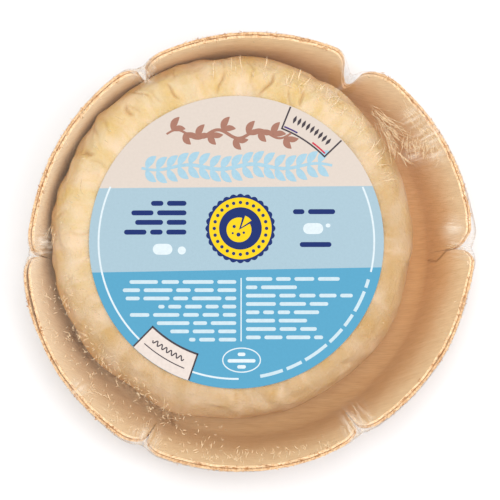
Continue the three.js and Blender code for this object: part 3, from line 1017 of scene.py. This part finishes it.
def make_film_material():
    """Clear polyolefin shrink film: nearly invisible face on, glossy at a glance, and milky where it is
    gathered and has whitened in streaks, and in one painted highlight."""
    material, tree = new_material("clear_shrink_film")
    haze_and_glint = add(tree, "Attribute", attribute_name="haze_and_glint").outputs["Fac"]
    streak = add(tree, "Attribute", attribute_name="streak").outputs["Vector"]
    facing = add(tree, "LayerWeight", {"Blend": 0.5}).outputs["Facing"]
    grazing = add(tree, "Math", {0: facing, 1: 5.0}, operation="POWER")
    reflected = add(tree, "Math", {0: grazing, 1: 0.5, 2: 0.014}, operation="MULTIPLY_ADD")
    # Whitened streaks about 0.5 mm wide and 4 mm long
    lie = add(tree, "Mapping", {0: streak, "Scale": (1.4, 0.22, 1.0)})
    broken = add(tree, "TexNoise", {"Vector": lie, "Scale": 1.0, "Detail": 4.0, "Roughness": 0.65})
    milk = add(tree, "MapRange", {0: broken, 1: 0.42, 2: 0.78, 3: 0.0, 4: 0.95})
    milky = add(tree, "Math", {0: milk, 1: haze_and_glint}, operation="MULTIPLY", use_clamp=True)
    clear = add(tree, "BsdfTransparent", {"Color": to_linear("#ffffff")})
    gloss = add(tree, "BsdfGlossy", {"Color": to_linear("#ffffff"), "Roughness": 0.07})
    window = add(tree, "MixShader", {0: reflected, 1: clear, 2: gloss})
    whitened_and_glint = add(
        tree,
        "BsdfPrincipled",
        {"Base Color": to_linear("#f6ead9"), "Roughness": 0.25, "IOR": 1.5},
    )
    surface = add(tree, "MixShader", {0: milky, 1: window, 2: whitened_and_glint})
    add(tree, "OutputMaterial", {"Surface": surface})
    return material


film_material = make_film_material()
film, film_outer, rim_row = make_film(film_material)
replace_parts(film, "film_wrap")

# ------------------------------------------------------------------------------------------------
# Film folds and wood fibres: slender tapered ridges
# ------------------------------------------------------------------------------------------------

film_columns, film_rows = film_outer.shape[:2]
top_faces = []
for column in range(film_columns):
    for row in range(rim_row + 4):
        a, b = column * film_rows + row, (column + 1) % film_columns * film_rows + row
        top_faces.append((a, a + 1, b + 1, b))
film_above = BVHTree.FromPolygons(film_outer.reshape(-1, 3).tolist(), top_faces)


def onto_film(x, y):
    """The point and the facing of the film's upper side over a place, or nothing off its edge."""
    hit, normal, _, _ = film_above.ray_cast(Vector((x, y, 60)), Vector((0, 0, -1)))
    if hit is None:
        return None
    return np.array(hit), np.array(normal) * (1 if normal.z > 0 else -1)


def make_ridges(name, lines, material):
    """Slender closed ridges, each a line of points with its facings, a half width and a height."""
    points, faces = [], []
    for line, facing, half_width, height in lines:
        line, facing = np.asarray(line), np.asarray(facing)
        along = np.gradient(line, axis=0)
        sideways = np.cross(along, facing)
        sideways /= np.maximum(np.linalg.norm(sideways, axis=1)[:, None], 1e-9)
        swell = np.sin(np.linspace(0.12, math.pi - 0.12, len(line)))[:, None] ** 0.8
        first, count = len(points), len(line)
        sections = np.stack(
            [
                line - sideways * half_width * swell - facing * 0.02,
                line + facing * height * swell,
                line + sideways * half_width * swell - facing * 0.02,
            ],
            1,
        )
        points.extend(sections.reshape(-1, 3))
        for step in range(count - 1):
            a = first + 3 * step
            for side in range(3):
                b = (side + 1) % 3
                faces.append((a + side, a + b, a + 3 + b, a + 3 + side))
        last = first + 3 * (count - 1)
        faces += [(first, first + 1, first + 2), (last, last + 2, last + 1)]
    return make_piece(name, points, faces, [material], crease=60)


def fold_lines(draw, count, region, heading, spread, lengths, half_widths, height, bend=0.5):
    """Folds of the film scattered over a region, each drawn on the film's own surface."""
    lines = []
    while len(lines) < count:
        x, y = region(draw)
        turn = heading(x, y) + draw.normal(0, spread)
        length = draw.uniform(*lengths)
        curve = draw.normal(0, bend) / length
        steps = max(5, int(length / 0.35))
        line, facings = [], []
        for step in range(steps):
            here = onto_film(x, y)
            if here is None:
                break
            line.append(here[0])
            facings.append(here[1])
            x += math.cos(turn) * length / steps
            y += math.sin(turn) * length / steps
            turn += curve * length / steps
        if len(line) == steps:
            lines.append((line, facings, draw.uniform(*half_widths), height * draw.uniform(0.6, 1.3)))
        elif draw.uniform() < 0.02:
            break
    return lines


def ring_place(centre, radii, degrees):
    """A region between two radii and two bearings round a centre."""

    def place(draw):
        turn = math.radians(draw.uniform(*degrees))
        radius = draw.uniform(*radii)
        return centre[0] + radius * math.cos(turn), centre[1] + radius * math.sin(turn)

    return place


def round_place(x, y, spread):
    """A loose round patch."""
    return lambda draw: (x + draw.normal(0, spread), y + draw.normal(0, spread))


def line_place(start, end, spread):
    """A loose band between two points."""

    def place(draw):
        share = draw.uniform()
        return (
            start[0] + (end[0] - start[0]) * share + draw.normal(0, spread),
            start[1] + (end[1] - start[1]) * share + draw.normal(0, spread),
        )

    return place


def any_heading(x, y):
    """No heading of its own: the spread turns it anywhere."""
    return 0.0


def bearing(x, y):
    """Straight out from the rim's middle."""
    return math.atan2(y - RIM_CENTRE[1], x - RIM_CENTRE[0])


def straight(turn):
    """A heading that is the same everywhere."""
    return lambda x, y: turn


def on_cheese(radii, degrees):
    """A region between two radii and two bearings round the cheese's middle."""
    return ring_place(CHEESE_CENTRE, radii, degrees)


def on_tray_rim(radii, degrees):
    """A region between two radii and two bearings round the rim's middle."""
    return ring_place(RIM_CENTRE, radii, degrees)


draw = np.random.default_rng(61)
folds = []
for count, region, heading, spread, lengths, half_widths, height, bend in (
    # Long taut folds that fan out over the back right petal from the cheese's shoulder
    (36, line_place((27, 28.5), (31, 24), 0.8), straight(-0.65), 0.12, (2, 8), (0.04, 0.08), 0.05, 0.5),
    (30, line_place((28.5, 26), (31.5, 21), 0.6), straight(-1.05), 0.10, (2, 7), (0.04, 0.08), 0.06, 0.5),
    (28, line_place((33, 30), (39, 23), 0.7), straight(-0.8), 0.14, (1.5, 6), (0.04, 0.08), 0.05, 0.5),
    # Short upright puckers below them
    (105, line_place((34, 21), (41.4, 20), 1.1), straight(-1.5), 0.18, (0.9, 2.8), (0.04, 0.08), 0.06, 0.5),
    # Rolled folds along their foot, and small curls
    (3, round_place(32.5, 18.8, 0.25), straight(-0.85), 0.05, (4, 5.5), (0.07, 0.12), 0.08, 0.4),
    (7, round_place(34.6, 20.2, 0.9), straight(0.4), 1.0, (1.6, 3.0), (0.04, 0.07), 0.06, 4.5),
    # Fine slack lines over the cheese's top at the back
    (60, on_cheese((32.3, 35.0), (18, 100)), bearing, 0.35, (1.5, 4.2), (0.05, 0.12), 0.04, 0.5),
    (26, on_cheese((31.8, 34.5), (110, 215)), bearing, 0.5, (1.0, 2.8), (0.03, 0.08), 0.03, 0.5),
    # Loose flecks over the front left petals, pale as painted glints
    (260, on_tray_rim((37, 46), (188, 262)), any_heading, 2.0, (0.4, 1.4), (0.045, 0.09), 0.05, 0.7),
    (36, on_tray_rim((37, 46), (190, 250)), any_heading, 2.0, (1.4, 2.6), (0.05, 0.08), 0.06, 1.2),
    (80, line_place(CHEESE_FOOT_BAND_START, CHEESE_FOOT_BAND_END, 0.9), any_heading, 2.0, (0.5, 1.6), (0.05, 0.09), 0.06, 0.8),
    # Folds drawn down to the notches
    (7, line_place((-39.6, 3.4), (-38.6, 0.8), 0.3), straight(-1.95), 0.08, (2, 4.2), (0.04, 0.09), 0.08, 0.2),
    (20, round_place(23.5, -37.6, 1.6), bearing, 0.5, (1.0, 3.4), (0.03, 0.08), 0.07, 1.2),
    (12, round_place(-18.6, -39.5, 1.5), bearing, 0.6, (0.8, 2.4), (0.03, 0.07), 0.06, 1.0),
    (8, round_place(-18.5, 34.5, 0.9), bearing, 0.3, (1.0, 2.4), (0.03, 0.08), 0.07, 0.5),
    (7, line_place((43, -1.0), (46.5, -1.2), 0.4), bearing, 0.2, (1.0, 2.8), (0.03, 0.06), 0.06, 0.4),
    # Fine puckers where the film turns over the rim, all the way round, and longer ones at the front
    (620, on_tray_rim((43.4, 46.8), (0, 360)), bearing, 0.75, (0.3, 1.0), (0.04, 0.07), 0.03, 0.6),
    (90, line_place((-8, -45.0), (23, -41.8), 0.7), bearing, 0.6, (0.7, 1.6), (0.04, 0.08), 0.05, 0.5),
    # Pin-head flecks on the film, pale as painted glints of light
    (44, on_cheese((32.5, 37.5), (278, 335)), any_heading, 2.0, (0.2, 0.5), (0.05, 0.10), 0.06, 0.1),
    (36, on_cheese((32.0, 36.5), (150, 235)), any_heading, 2.0, (0.2, 0.5), (0.05, 0.10), 0.06, 0.1),
):
    folds += fold_lines(draw, count, region, heading, spread, lengths, half_widths, height, bend)


def make_fold_material():
    """The same shrink film doubled in a fold: half opaque and pale along its ridge, partly the fold's
    whitening and partly painted glints where the film's wrinkles catch the light.
    """
    material, tree = new_material("folded_shrink_film_with_painted_glints")
    place = add(tree, "NewGeometry").outputs["Position"]
    # The folds whiten and clear again about every 1.5 mm
    broken = add(tree, "TexNoise", {"Vector": place, "Scale": 700.0, "Detail": 2.0})
    share = add(tree, "MapRange", {0: broken, 1: 0.32, 2: 0.68, 3: 0.15, 4: 0.7})
    clear = add(tree, "BsdfTransparent", {"Color": to_linear("#ffffff")})
    ridge = add(tree, "BsdfPrincipled", {"Base Color": to_linear("#ecd3ae"), "Roughness": 0.22, "IOR": 1.5})
    surface = add(tree, "MixShader", {0: share, 1: clear, 2: ridge})
    add(tree, "OutputMaterial", {"Surface": surface})
    return material


film_folds = make_ridges("film_folds", folds, make_fold_material())
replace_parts(film_folds, "film_wrap")


def rim_fibres(draw, count):
    """Torn fibres that lie over the cut edges of the two plies."""
    lines = []
    petal = draw.integers(0, PETALS, count)
    share = draw.uniform(0.01, 0.99, count)
    top = ply_top(petal, share, 0.0)
    direction, slope = flank(petal, share)
    on_inner = draw.uniform(size=count) < 0.5
    over_inner = draw.uniform(0.05, PLY, count)
    over_outer = draw.uniform(PLY + PLY_GAP, TRAY_THICKNESS, count)
    outward = np.where(on_inner, over_inner, over_outer)
    outward += split_between_plies(petal + share) * (outward > PLY)
    lean = EDGE_LEAN[petal, 0] * np.exp(-((share * PETAL_WIDTH / LEAN_REACH) ** 2))
    lean += EDGE_LEAN[petal, 1] * np.exp(-(((1 - share) * PETAL_WIDTH / LEAN_REACH) ** 2))
    root = on_tray(direction, slope, top - 0.06, outward + lean)
    for index in range(count):
        if share[index] < 0.12 or share[index] > 0.88:
            continue
        round_rim = np.array([-direction[index, 1], direction[index, 0], 0.0])
        up = np.array([*direction[index] * math.cos(slope[index]), math.sin(slope[index])])
        out = np.cross(round_rim, up)
        turn = draw.uniform(0, 2 * math.pi)
        length = draw.uniform(0.3, 1.15)
        heading = round_rim * math.cos(turn) + out * math.sin(turn) * 0.6
        steps = np.linspace(0, 1, 5)[:, None]
        line = root[index] + heading * length * steps + up * 0.16 * np.sin(steps * math.pi)
        lines.append((line, np.tile(up, (5, 1)), draw.uniform(0.04, 0.08), 0.06))
    return lines


def make_fibre_material():
    """Torn poplar fibre: pale, dry and matt, some strands toasted by the press."""
    material, tree = new_material("torn_poplar_fibre")
    place = add(tree, "NewGeometry").outputs["Position"]
    mixed = add(tree, "TexNoise", {"Vector": place, "Scale": 900.0, "Detail": 2.0})
    tone = add(tree, "ValToRGB", {"Fac": mixed}, stops=[(0.40, "#b07438"), (0.54, "#ecd0a6")])
    shader = add(tree, "BsdfPrincipled", {"Base Color": tone, "Roughness": 0.8, "IOR": 1.5})
    add(tree, "OutputMaterial", {"Surface": shader})
    return material


fibres = make_ridges("rim_fibres", rim_fibres(np.random.default_rng(71), 2600), make_fibre_material())

# ------------------------------------------------------------------------------------------------
# Labels
# ------------------------------------------------------------------------------------------------

PAPER = 0.1
FRONT_PAPER = PAPER - 0.05  # thinner, so that it lies clear above the film
UNDER_INK = 0.012  # the bottom label's lower face stands this far up, so its print stays off the ground


def label_height(x, y):
    """The height of the front label's printed face, which follows the cheese's slight waves."""
    radius = np.hypot(x, y) / LABEL_RADIUS
    wave = random_field(np.stack([x, y], -1), 14.0, 51)
    return LABEL_TOP - 0.03 + 0.016 * wave * smooth_step(0.3, 1.0, radius)


def make_label(name, centre, radius, height, thickness_down, material):
    """A round paper label: its printed face at a height given over its own plane, and its back."""
    rings = np.concatenate([np.linspace(0, radius - 1.2, 34), np.linspace(radius - 0.9, radius, 5)])
    turn = np.linspace(0, 2 * np.pi, 240, endpoint=False)
    x = rings[None, :] * np.cos(turn)[:, None]
    y = rings[None, :] * np.sin(turn)[:, None]
    face = np.stack([x + centre[0], y + centre[1], height(x, y)], -1)
    back = face - [0, 0, thickness_down]
    points = np.concatenate([face.reshape(-1, 3), back.reshape(-1, 3)])
    faces = shell_faces(len(turn), len(rings))
    own = np.tile(np.stack([x, y, x * 0], -1).reshape(-1, 3), (2, 1))
    return make_piece(name, points, faces, [material], {"sheet": own}, crease=40, weld=1e-4)


def make_label_paper(name, zones, edge_lines):
    """Coated label paper, offset printed in flat zones: even colour, a faint fibre and a low sheen."""
    material, tree = new_material(name)
    sheet = add(tree, "Attribute", attribute_name="sheet").outputs["Vector"]
    place = add(tree, "SeparateXYZ", {0: sheet})
    colour = None
    for zone, line in zip(zones, [None, *edge_lines]):
        if line is None:
            colour = to_linear(zone)
            continue
        height, tilt = line
        leaned = add(
            tree, "Math", {0: place.outputs["X"], 1: tilt, 2: height}, operation="MULTIPLY_ADD"
        )
        below = add(tree, "Math", {0: place.outputs["Y"], 1: leaned}, operation="LESS_THAN")
        colour = add(tree, "Mix", {0: below, 6: colour, 7: to_linear(zone)}, data_type="RGBA").outputs[2]
    fibre = add(tree, "TexNoise", {"Vector": sheet, "Scale": 1.8, "Detail": 5.0, "Roughness": 0.7})
    tone = add(tree, "ValToRGB", {"Fac": fibre}, stops=[(0.3, "#f8f8f8"), (0.7, "#ffffff")])
    printed = add(
        tree, "Mix", {0: 1.0, 6: colour, 7: tone}, data_type="RGBA", blend_type="MULTIPLY"
    ).outputs[2]
    bump = add(tree, "Bump", {"Height": fibre, "Strength": 0.15, "Distance": 0.02 * MM})
    shader = add(
        tree,
        "BsdfPrincipled",
        {"Base Color": printed, "Roughness": 0.42, "IOR": 1.5, "Specular IOR Level": 0.4, "Normal": bump},
    )
    add(tree, "OutputMaterial", {"Surface": shader})
    return material


front_paper = make_label_paper(
    "coated_paper_in_cream_and_two_blues",
    ["#c2b7ae", "#92abb8", "#478eae"],
    [(11.4, 0.007), (-6.0, 0.017)],
)
front_label = make_label(
    "front_label_paper", LABEL_CENTRE, LABEL_RADIUS, label_height, FRONT_PAPER, front_paper
)
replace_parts(front_label, "front_label")

back_paper = make_label_paper("uncoated_paper_underneath", ["#e9e3d8"], [])
back_label = make_label(
    "back_label_paper",
    np.zeros(2),
    BACK_LABEL_RADIUS,
    lambda x, y: 0 * x + PAPER,
    PAPER - UNDER_INK,
    back_paper,
)
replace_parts(back_label, "back_label")

# ------------------------------------------------------------------------------------------------
# Print, all of it ornament: leaves, bars, rules and a seal, with no letters or numbers
# ------------------------------------------------------------------------------------------------

INKS = {
    "white": "#c4d0d6",
    "pale": "#b3c6cf",
    "navy": "#0c2460",
    "mauve": "#94695a",
    "sky": "#93b4c4",
    "grey": "#3c363c",
    "cream": "#cbc0b9",
    "yellow": "#d6b80c",
    "violet": "#3b2a6b",
    "red": "#b5243f",
}
INK_RISE = 0.010
LAYER_RISE = 0.006


def make_ink(name, colour):
    """Offset ink on coated paper: flat colour, very slightly mottled, with the paper's own low sheen."""
    material, tree = new_material("offset_ink_" + name)
    place = add(tree, "NewGeometry").outputs["Position"]
    mottle = add(tree, "TexNoise", {"Vector": place, "Scale": 1600.0, "Detail": 2.0})
    tone = add(tree, "ValToRGB", {"Fac": mottle}, stops=[(0.3, "#f7f7f7"), (0.65, "#ffffff")])
    inked = add(
        tree, "Mix", {0: 1.0, 6: to_linear(colour), 7: tone}, data_type="RGBA", blend_type="MULTIPLY"
    ).outputs[2]
    shader = add(
        tree,
        "BsdfPrincipled",
        {"Base Color": inked, "Roughness": 0.4, "IOR": 1.5, "Specular IOR Level": 0.25},
    )
    add(tree, "OutputMaterial", {"Surface": shader})
    return material


class Print:
    """Thin closed slabs of ink that follow a label's face."""

    def __init__(self, centre, height, side):
        self.centre, self.height, self.side = centre, height, side
        self.points, self.faces, self.inks = [], [], []

    def slab(self, left, right, ink, layer=0, loop=False):
        """Ink between two lines of points."""
        edges = np.stack([left, right])
        base = self.height(edges[..., 0], edges[..., 1])
        first, count = len(self.points), len(left)
        for rise in (INK_RISE + LAYER_RISE * layer, -INK_RISE):
            for edge in range(2):
                z = base[edge] + self.side * rise
                self.points.extend(np.column_stack([edges[edge] + self.centre, z]).tolist())
        steps = range(count if loop else count - 1)
        made = []
        for step in steps:
            a, b = first + step, first + (step + 1) % count
            made += [
                (a, b, b + count, a + count),
                (a + 2 * count, a + 3 * count, b + 3 * count, b + 2 * count),
                (a, a + 2 * count, b + 2 * count, b),
                (a + count, b + count, b + 3 * count, a + 3 * count),
            ]
        if not loop:
            for a in (first, first + count - 1):
                made.append((a, a + count, a + 3 * count, a + 2 * count))
        self.faces += made
        self.inks += [list(INKS).index(ink)] * len(made)

    def stroke(self, line, half_width, ink, layer=0, loop=False):
        """A pen stroke along a line, of one width or of a width at each point."""
        line = np.asarray(line, float)
        if loop:
            along = np.roll(line, -1, 0) - np.roll(line, 1, 0)
        else:
            along = np.gradient(line, axis=0)
        along /= np.maximum(np.linalg.norm(along, axis=1)[:, None], 1e-9)
        sideways = np.stack([-along[:, 1], along[:, 0]], -1) * np.reshape(half_width, (-1, 1))
        self.slab(line + sideways, line - sideways, ink, layer, loop)

    def bar(self, start, end, half_width, ink, layer=0):
        """A straight bar with round ends."""
        start, end = np.array(start, float), np.array(end, float)
        length = np.linalg.norm(end - start)
        caps = half_width * (1 - np.cos(np.linspace(0.15, math.pi / 2, 5)))
        middle = np.linspace(half_width, length - half_width, max(2, int(length)))[1:-1]
        place = np.concatenate([caps, middle, length - caps[::-1]])
        width = half_width * np.ones(len(place))
        ends = np.sin(np.linspace(0.15, math.pi / 2, 5)) * half_width
        width[:5], width[-5:] = ends, ends[::-1]
        self.stroke(start + (end - start) * (place / length)[:, None], width, ink, layer)

    def arc(self, radius, degrees, half_width, ink, layer=0, centre=(0, 0)):
        """A stroke along part of a circle."""
        steps = max(6, int(abs(degrees[1] - degrees[0]) * radius / 50))
        turn = np.radians(np.linspace(*degrees, steps))
        line = around(turn) * radius + centre
        self.stroke(line, half_width, ink, layer)

    def disc(self, centre, radius, ink, layer=0, lobes=0, depth=0.0, steps=144):
        """A filled round, plain or with a scalloped edge."""
        turn = np.linspace(0, 2 * np.pi, steps, endpoint=False)
        ring = around(turn)
        reach = radius - depth * (1 - np.abs(np.cos(lobes * turn / 2))) if lobes else radius + 0 * turn
        self.slab(ring * 0.02 + centre, ring * reach[:, None] + centre, ink, layer, loop=True)

    def leaf(self, root, turn, length, half_width, bow, ink, layer):
        """A pointed leaf from its root, bowed to one side."""
        share = np.linspace(0, 1, 16)
        blade = root + np.outer(share * length, [math.cos(turn), math.sin(turn)])
        blade += np.outer(np.sin(share * math.pi) * bow, [-math.sin(turn), math.cos(turn)])
        self.stroke(blade, 0.05 + half_width * np.sin(share * math.pi) ** 0.9, ink, layer)

    def dashes(self, draw, start, width, half_height, ink, turned=False):
        """One row of bars with gaps, from its left end, or back from its right end."""
        x, y = start
        done = 0.0
        while done < width - 0.8:
            dash = min(draw.uniform(2.2, 6.5), width - done)
            if width - done - dash < 1.6:
                dash = width - done
            a, b = (x - done - dash, x - done) if turned else (x + done, x + done + dash)
            self.bar((a, y), (b, y), half_height, ink)
            done += dash + 0.75

    def finish(self, name):
        """The whole print as one piece."""
        materials = [ink_materials[ink] for ink in INKS]
        piece = make_piece(name, self.points, self.faces, materials, face_materials=self.inks, crease=30)
        return piece


ink_materials = {name: make_ink(name, colour) for name, colour in INKS.items()}
draw = np.random.default_rng(81)
front = Print(LABEL_CENTRE, label_height, 1)

# A white keyline inside the edge of the two blue zones
KEYLINE_RADIUS = 28.7
for degrees in ((156.3, 225.5), (251.5, 271.0), (347.0, 383.4)):
    front.arc(KEYLINE_RADIUS, degrees, 0.19, "white")

# A leafy vine
vine_x = np.linspace(-14.6, 11.4, 90)
vine_phase = (vine_x + 14.6) * 2 * math.pi / 8.6
vine = np.stack([vine_x, 22.6 + 0.9 * np.sin(vine_phase)], -1)
front.stroke(vine, 0.20 + 0.14 * np.sin(np.linspace(0, math.pi, 90)), "mauve", 2)
for index in range(4, 88, 9):
    root = vine[index]
    side = 1 if (index // 9) % 2 == 0 else -1
    front.leaf(root, side * 1.1, 3.3 if side > 0 else 2.8, 0.66, side * 0.4, "mauve", 0)
    front.leaf(root, side * 0.15, 2.8, 0.58, side * 0.35, "mauve", 1)

# A broad garland of leaves under it
garland_x = np.linspace(-19.8, 20.0, 160)
garland = np.stack([garland_x, 15.7 + 0.01 * garland_x + 0.5 * np.sin(garland_x * 2 * math.pi / 13.4)], -1)
front.stroke(garland, 0.26 + 0.14 * np.sin(np.linspace(0, math.pi, 160)), "sky", 2)
for index in range(4, 152, 9):
    for side, layer in ((1, 0), (-1, 1)):
        front.leaf(garland[index], side * 0.92, 3.4, 0.74, side * 0.4, "sky", layer)

# Boxes cut by the label's edge
front.arc(25.6, (44.0, 68.2), 0.17, "grey", 1)
for degrees in (44.0, 68.2):
    ray = around(math.radians(degrees))
    front.stroke(np.outer(np.linspace(25.45, 30.55, 8), ray), 0.17, "grey", 1)
front.arc(26.15, (60.8, 67.5), 0.17, "violet", 1)
front.arc(26.15, (44.9, 52.6), 0.17, "red", 1)
for degrees in np.linspace(47.5, 64.5, 9):
    ray = around(math.radians(degrees))
    front.stroke(np.outer([27.5, 27.95, 28.4, 28.85, 29.3], ray), [0.02, 0.22, 0.34, 0.22, 0.02], "grey")

turn = np.radians(np.linspace(225.8, 251.2, 16))
ring = around(turn)
for radius in np.arange(24.9, 30.6, 0.95):
    front.slab(ring * radius, ring * min(radius + 0.95, LABEL_RADIUS - 0.04), "cream", 1)
front.arc(24.9, (225.4, 251.6), 0.2, "grey", 2)
for degrees in (225.8, 251.2):
    ray = around(math.radians(degrees))
    front.stroke(np.outer(np.linspace(24.75, 30.6, 9), ray), 0.17, "grey", 2)
front.arc(28.6, (228.2, 247.9), 0.11, "grey", 2)
turn = np.radians(np.linspace(230.2, 246.2, 70))
wavy = 26.9 + 0.45 * np.sin(np.linspace(0, 13 * math.pi, 70))
front.stroke(around(turn) * wavy[:, None], 0.13, "grey", 2)

# Rows of bars, with short thick ones among them
for y, width in ((8.0, 7.4), (6.0, 11.5), (4.0, 10.7), (1.95, 13.0)):
    front.dashes(draw, (-10.4, y), width, 0.52, "navy", turned=True)
front.bar((-17.4, -1.65), (-13.3, -1.65), 1.15, "white")
front.bar((-12.2, -1.9), (-10.5, -1.9), 0.85, "white")
front.dashes(draw, (11.8, 6.2), 8.8, 0.52, "navy")
front.bar((13.9, 2.65), (18.1, 2.65), 1.15, "white")
front.bar((18.6, 3.3), (19.6, 3.3), 0.4, "white")
front.dashes(draw, (13.2, -0.7), 6.6, 0.52, "navy")
ROW_WIDTHS_LEFT = (22.2, 23.6, 23.0, 16.2, 22.1, 16.5, 13.7, 9.8)
ROW_WIDTHS_RIGHT = (19.5, 10.6, 22.2, 17.1, 15.2, 12.7, 14.7, 16.0)
for index, (left, right) in enumerate(zip(ROW_WIDTHS_LEFT, ROW_WIDTHS_RIGHT)):
    front.dashes(draw, (0.0, -8.5 - 1.72 * index), left, 0.38, "pale", turned=True)
    front.dashes(draw, (2.0, -7.9 - 1.74 * index), right, 0.38, "pale")
front.stroke(np.array([[1.0, y] for y in np.linspace(-7.7, -20.9, 15)]), 0.12, "white")
place = 280.0
while place < 343:
    dash = draw.uniform(3.5, 11)
    front.arc(28.6, (place, min(place + dash, 344)), 0.34, "pale")
    place += dash + 1.7
turn = np.linspace(0, 2 * math.pi, 72, endpoint=False)
front.stroke([1.1, -24.8] + around(turn) * [3.9, 2.5], 0.12, "white", loop=True)
for y, half in ((-23.6, 0.8), (-24.95, 2.9), (-26.2, 0.9)):
    front.bar((1.1 - half, y), (1.1 + half, y), 0.36, "white")

# A plain scalloped seal with a cheese and its cut wedge
SEAL = np.array([0.85, 2.7])
front.disc(SEAL, 7.3, "navy", 1, lobes=28, depth=0.42, steps=336)
front.disc(SEAL, 6.5, "yellow", 2)
for degrees in range(0, 360, 15):
    ray = around(math.radians(degrees))
    front.disc(SEAL + ray * 5.45, 0.36, "navy", 3, steps=16)
front.disc(SEAL, 4.45, "navy", 3)
turn = np.radians(np.linspace(75, 390, 60))
ring = around(turn)
front.slab(ring * 0.02 + SEAL + [-0.3, -0.3], ring * 2.6 + SEAL + [-0.3, -0.3], "yellow", 4)
turn = np.radians(np.linspace(34, 71, 12))
ring = around(turn)
front.slab(ring * 0.1 + SEAL + [0.15, 0.2], ring * 2.6 + SEAL + [0.15, 0.2], "yellow", 4)
for x, y, size in ((-1.3, 0.4, 0.34), (-0.4, -1.3, 0.42), (0.7, -0.9, 0.26), (-1.6, -1.0, 0.22)):
    front.disc(SEAL + [x, y], size, "navy", 5, steps=20)
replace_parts(front.finish("front_label_print"), "front_label")

# The label underneath has only a frame and a few lines
back = Print(np.zeros(2), lambda x, y: 0 * x + UNDER_INK, -0.9)
turn = np.linspace(0, 2 * math.pi, 180, endpoint=False)
back.stroke(around(turn) * 22.8, 0.15, "navy", loop=True)
for index, width in enumerate((20, 27, 31, 29, 24, 30, 26, 17)):
    back.dashes(draw, (-width / 2, 11.0 - 3.0 * index), width, 0.5, "grey")
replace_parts(back.finish("back_label_print"), "back_label")

# ------------------------------------------------------------------------------------------------
# The last lines
# ------------------------------------------------------------------------------------------------

bpy.context.view_layer.update()
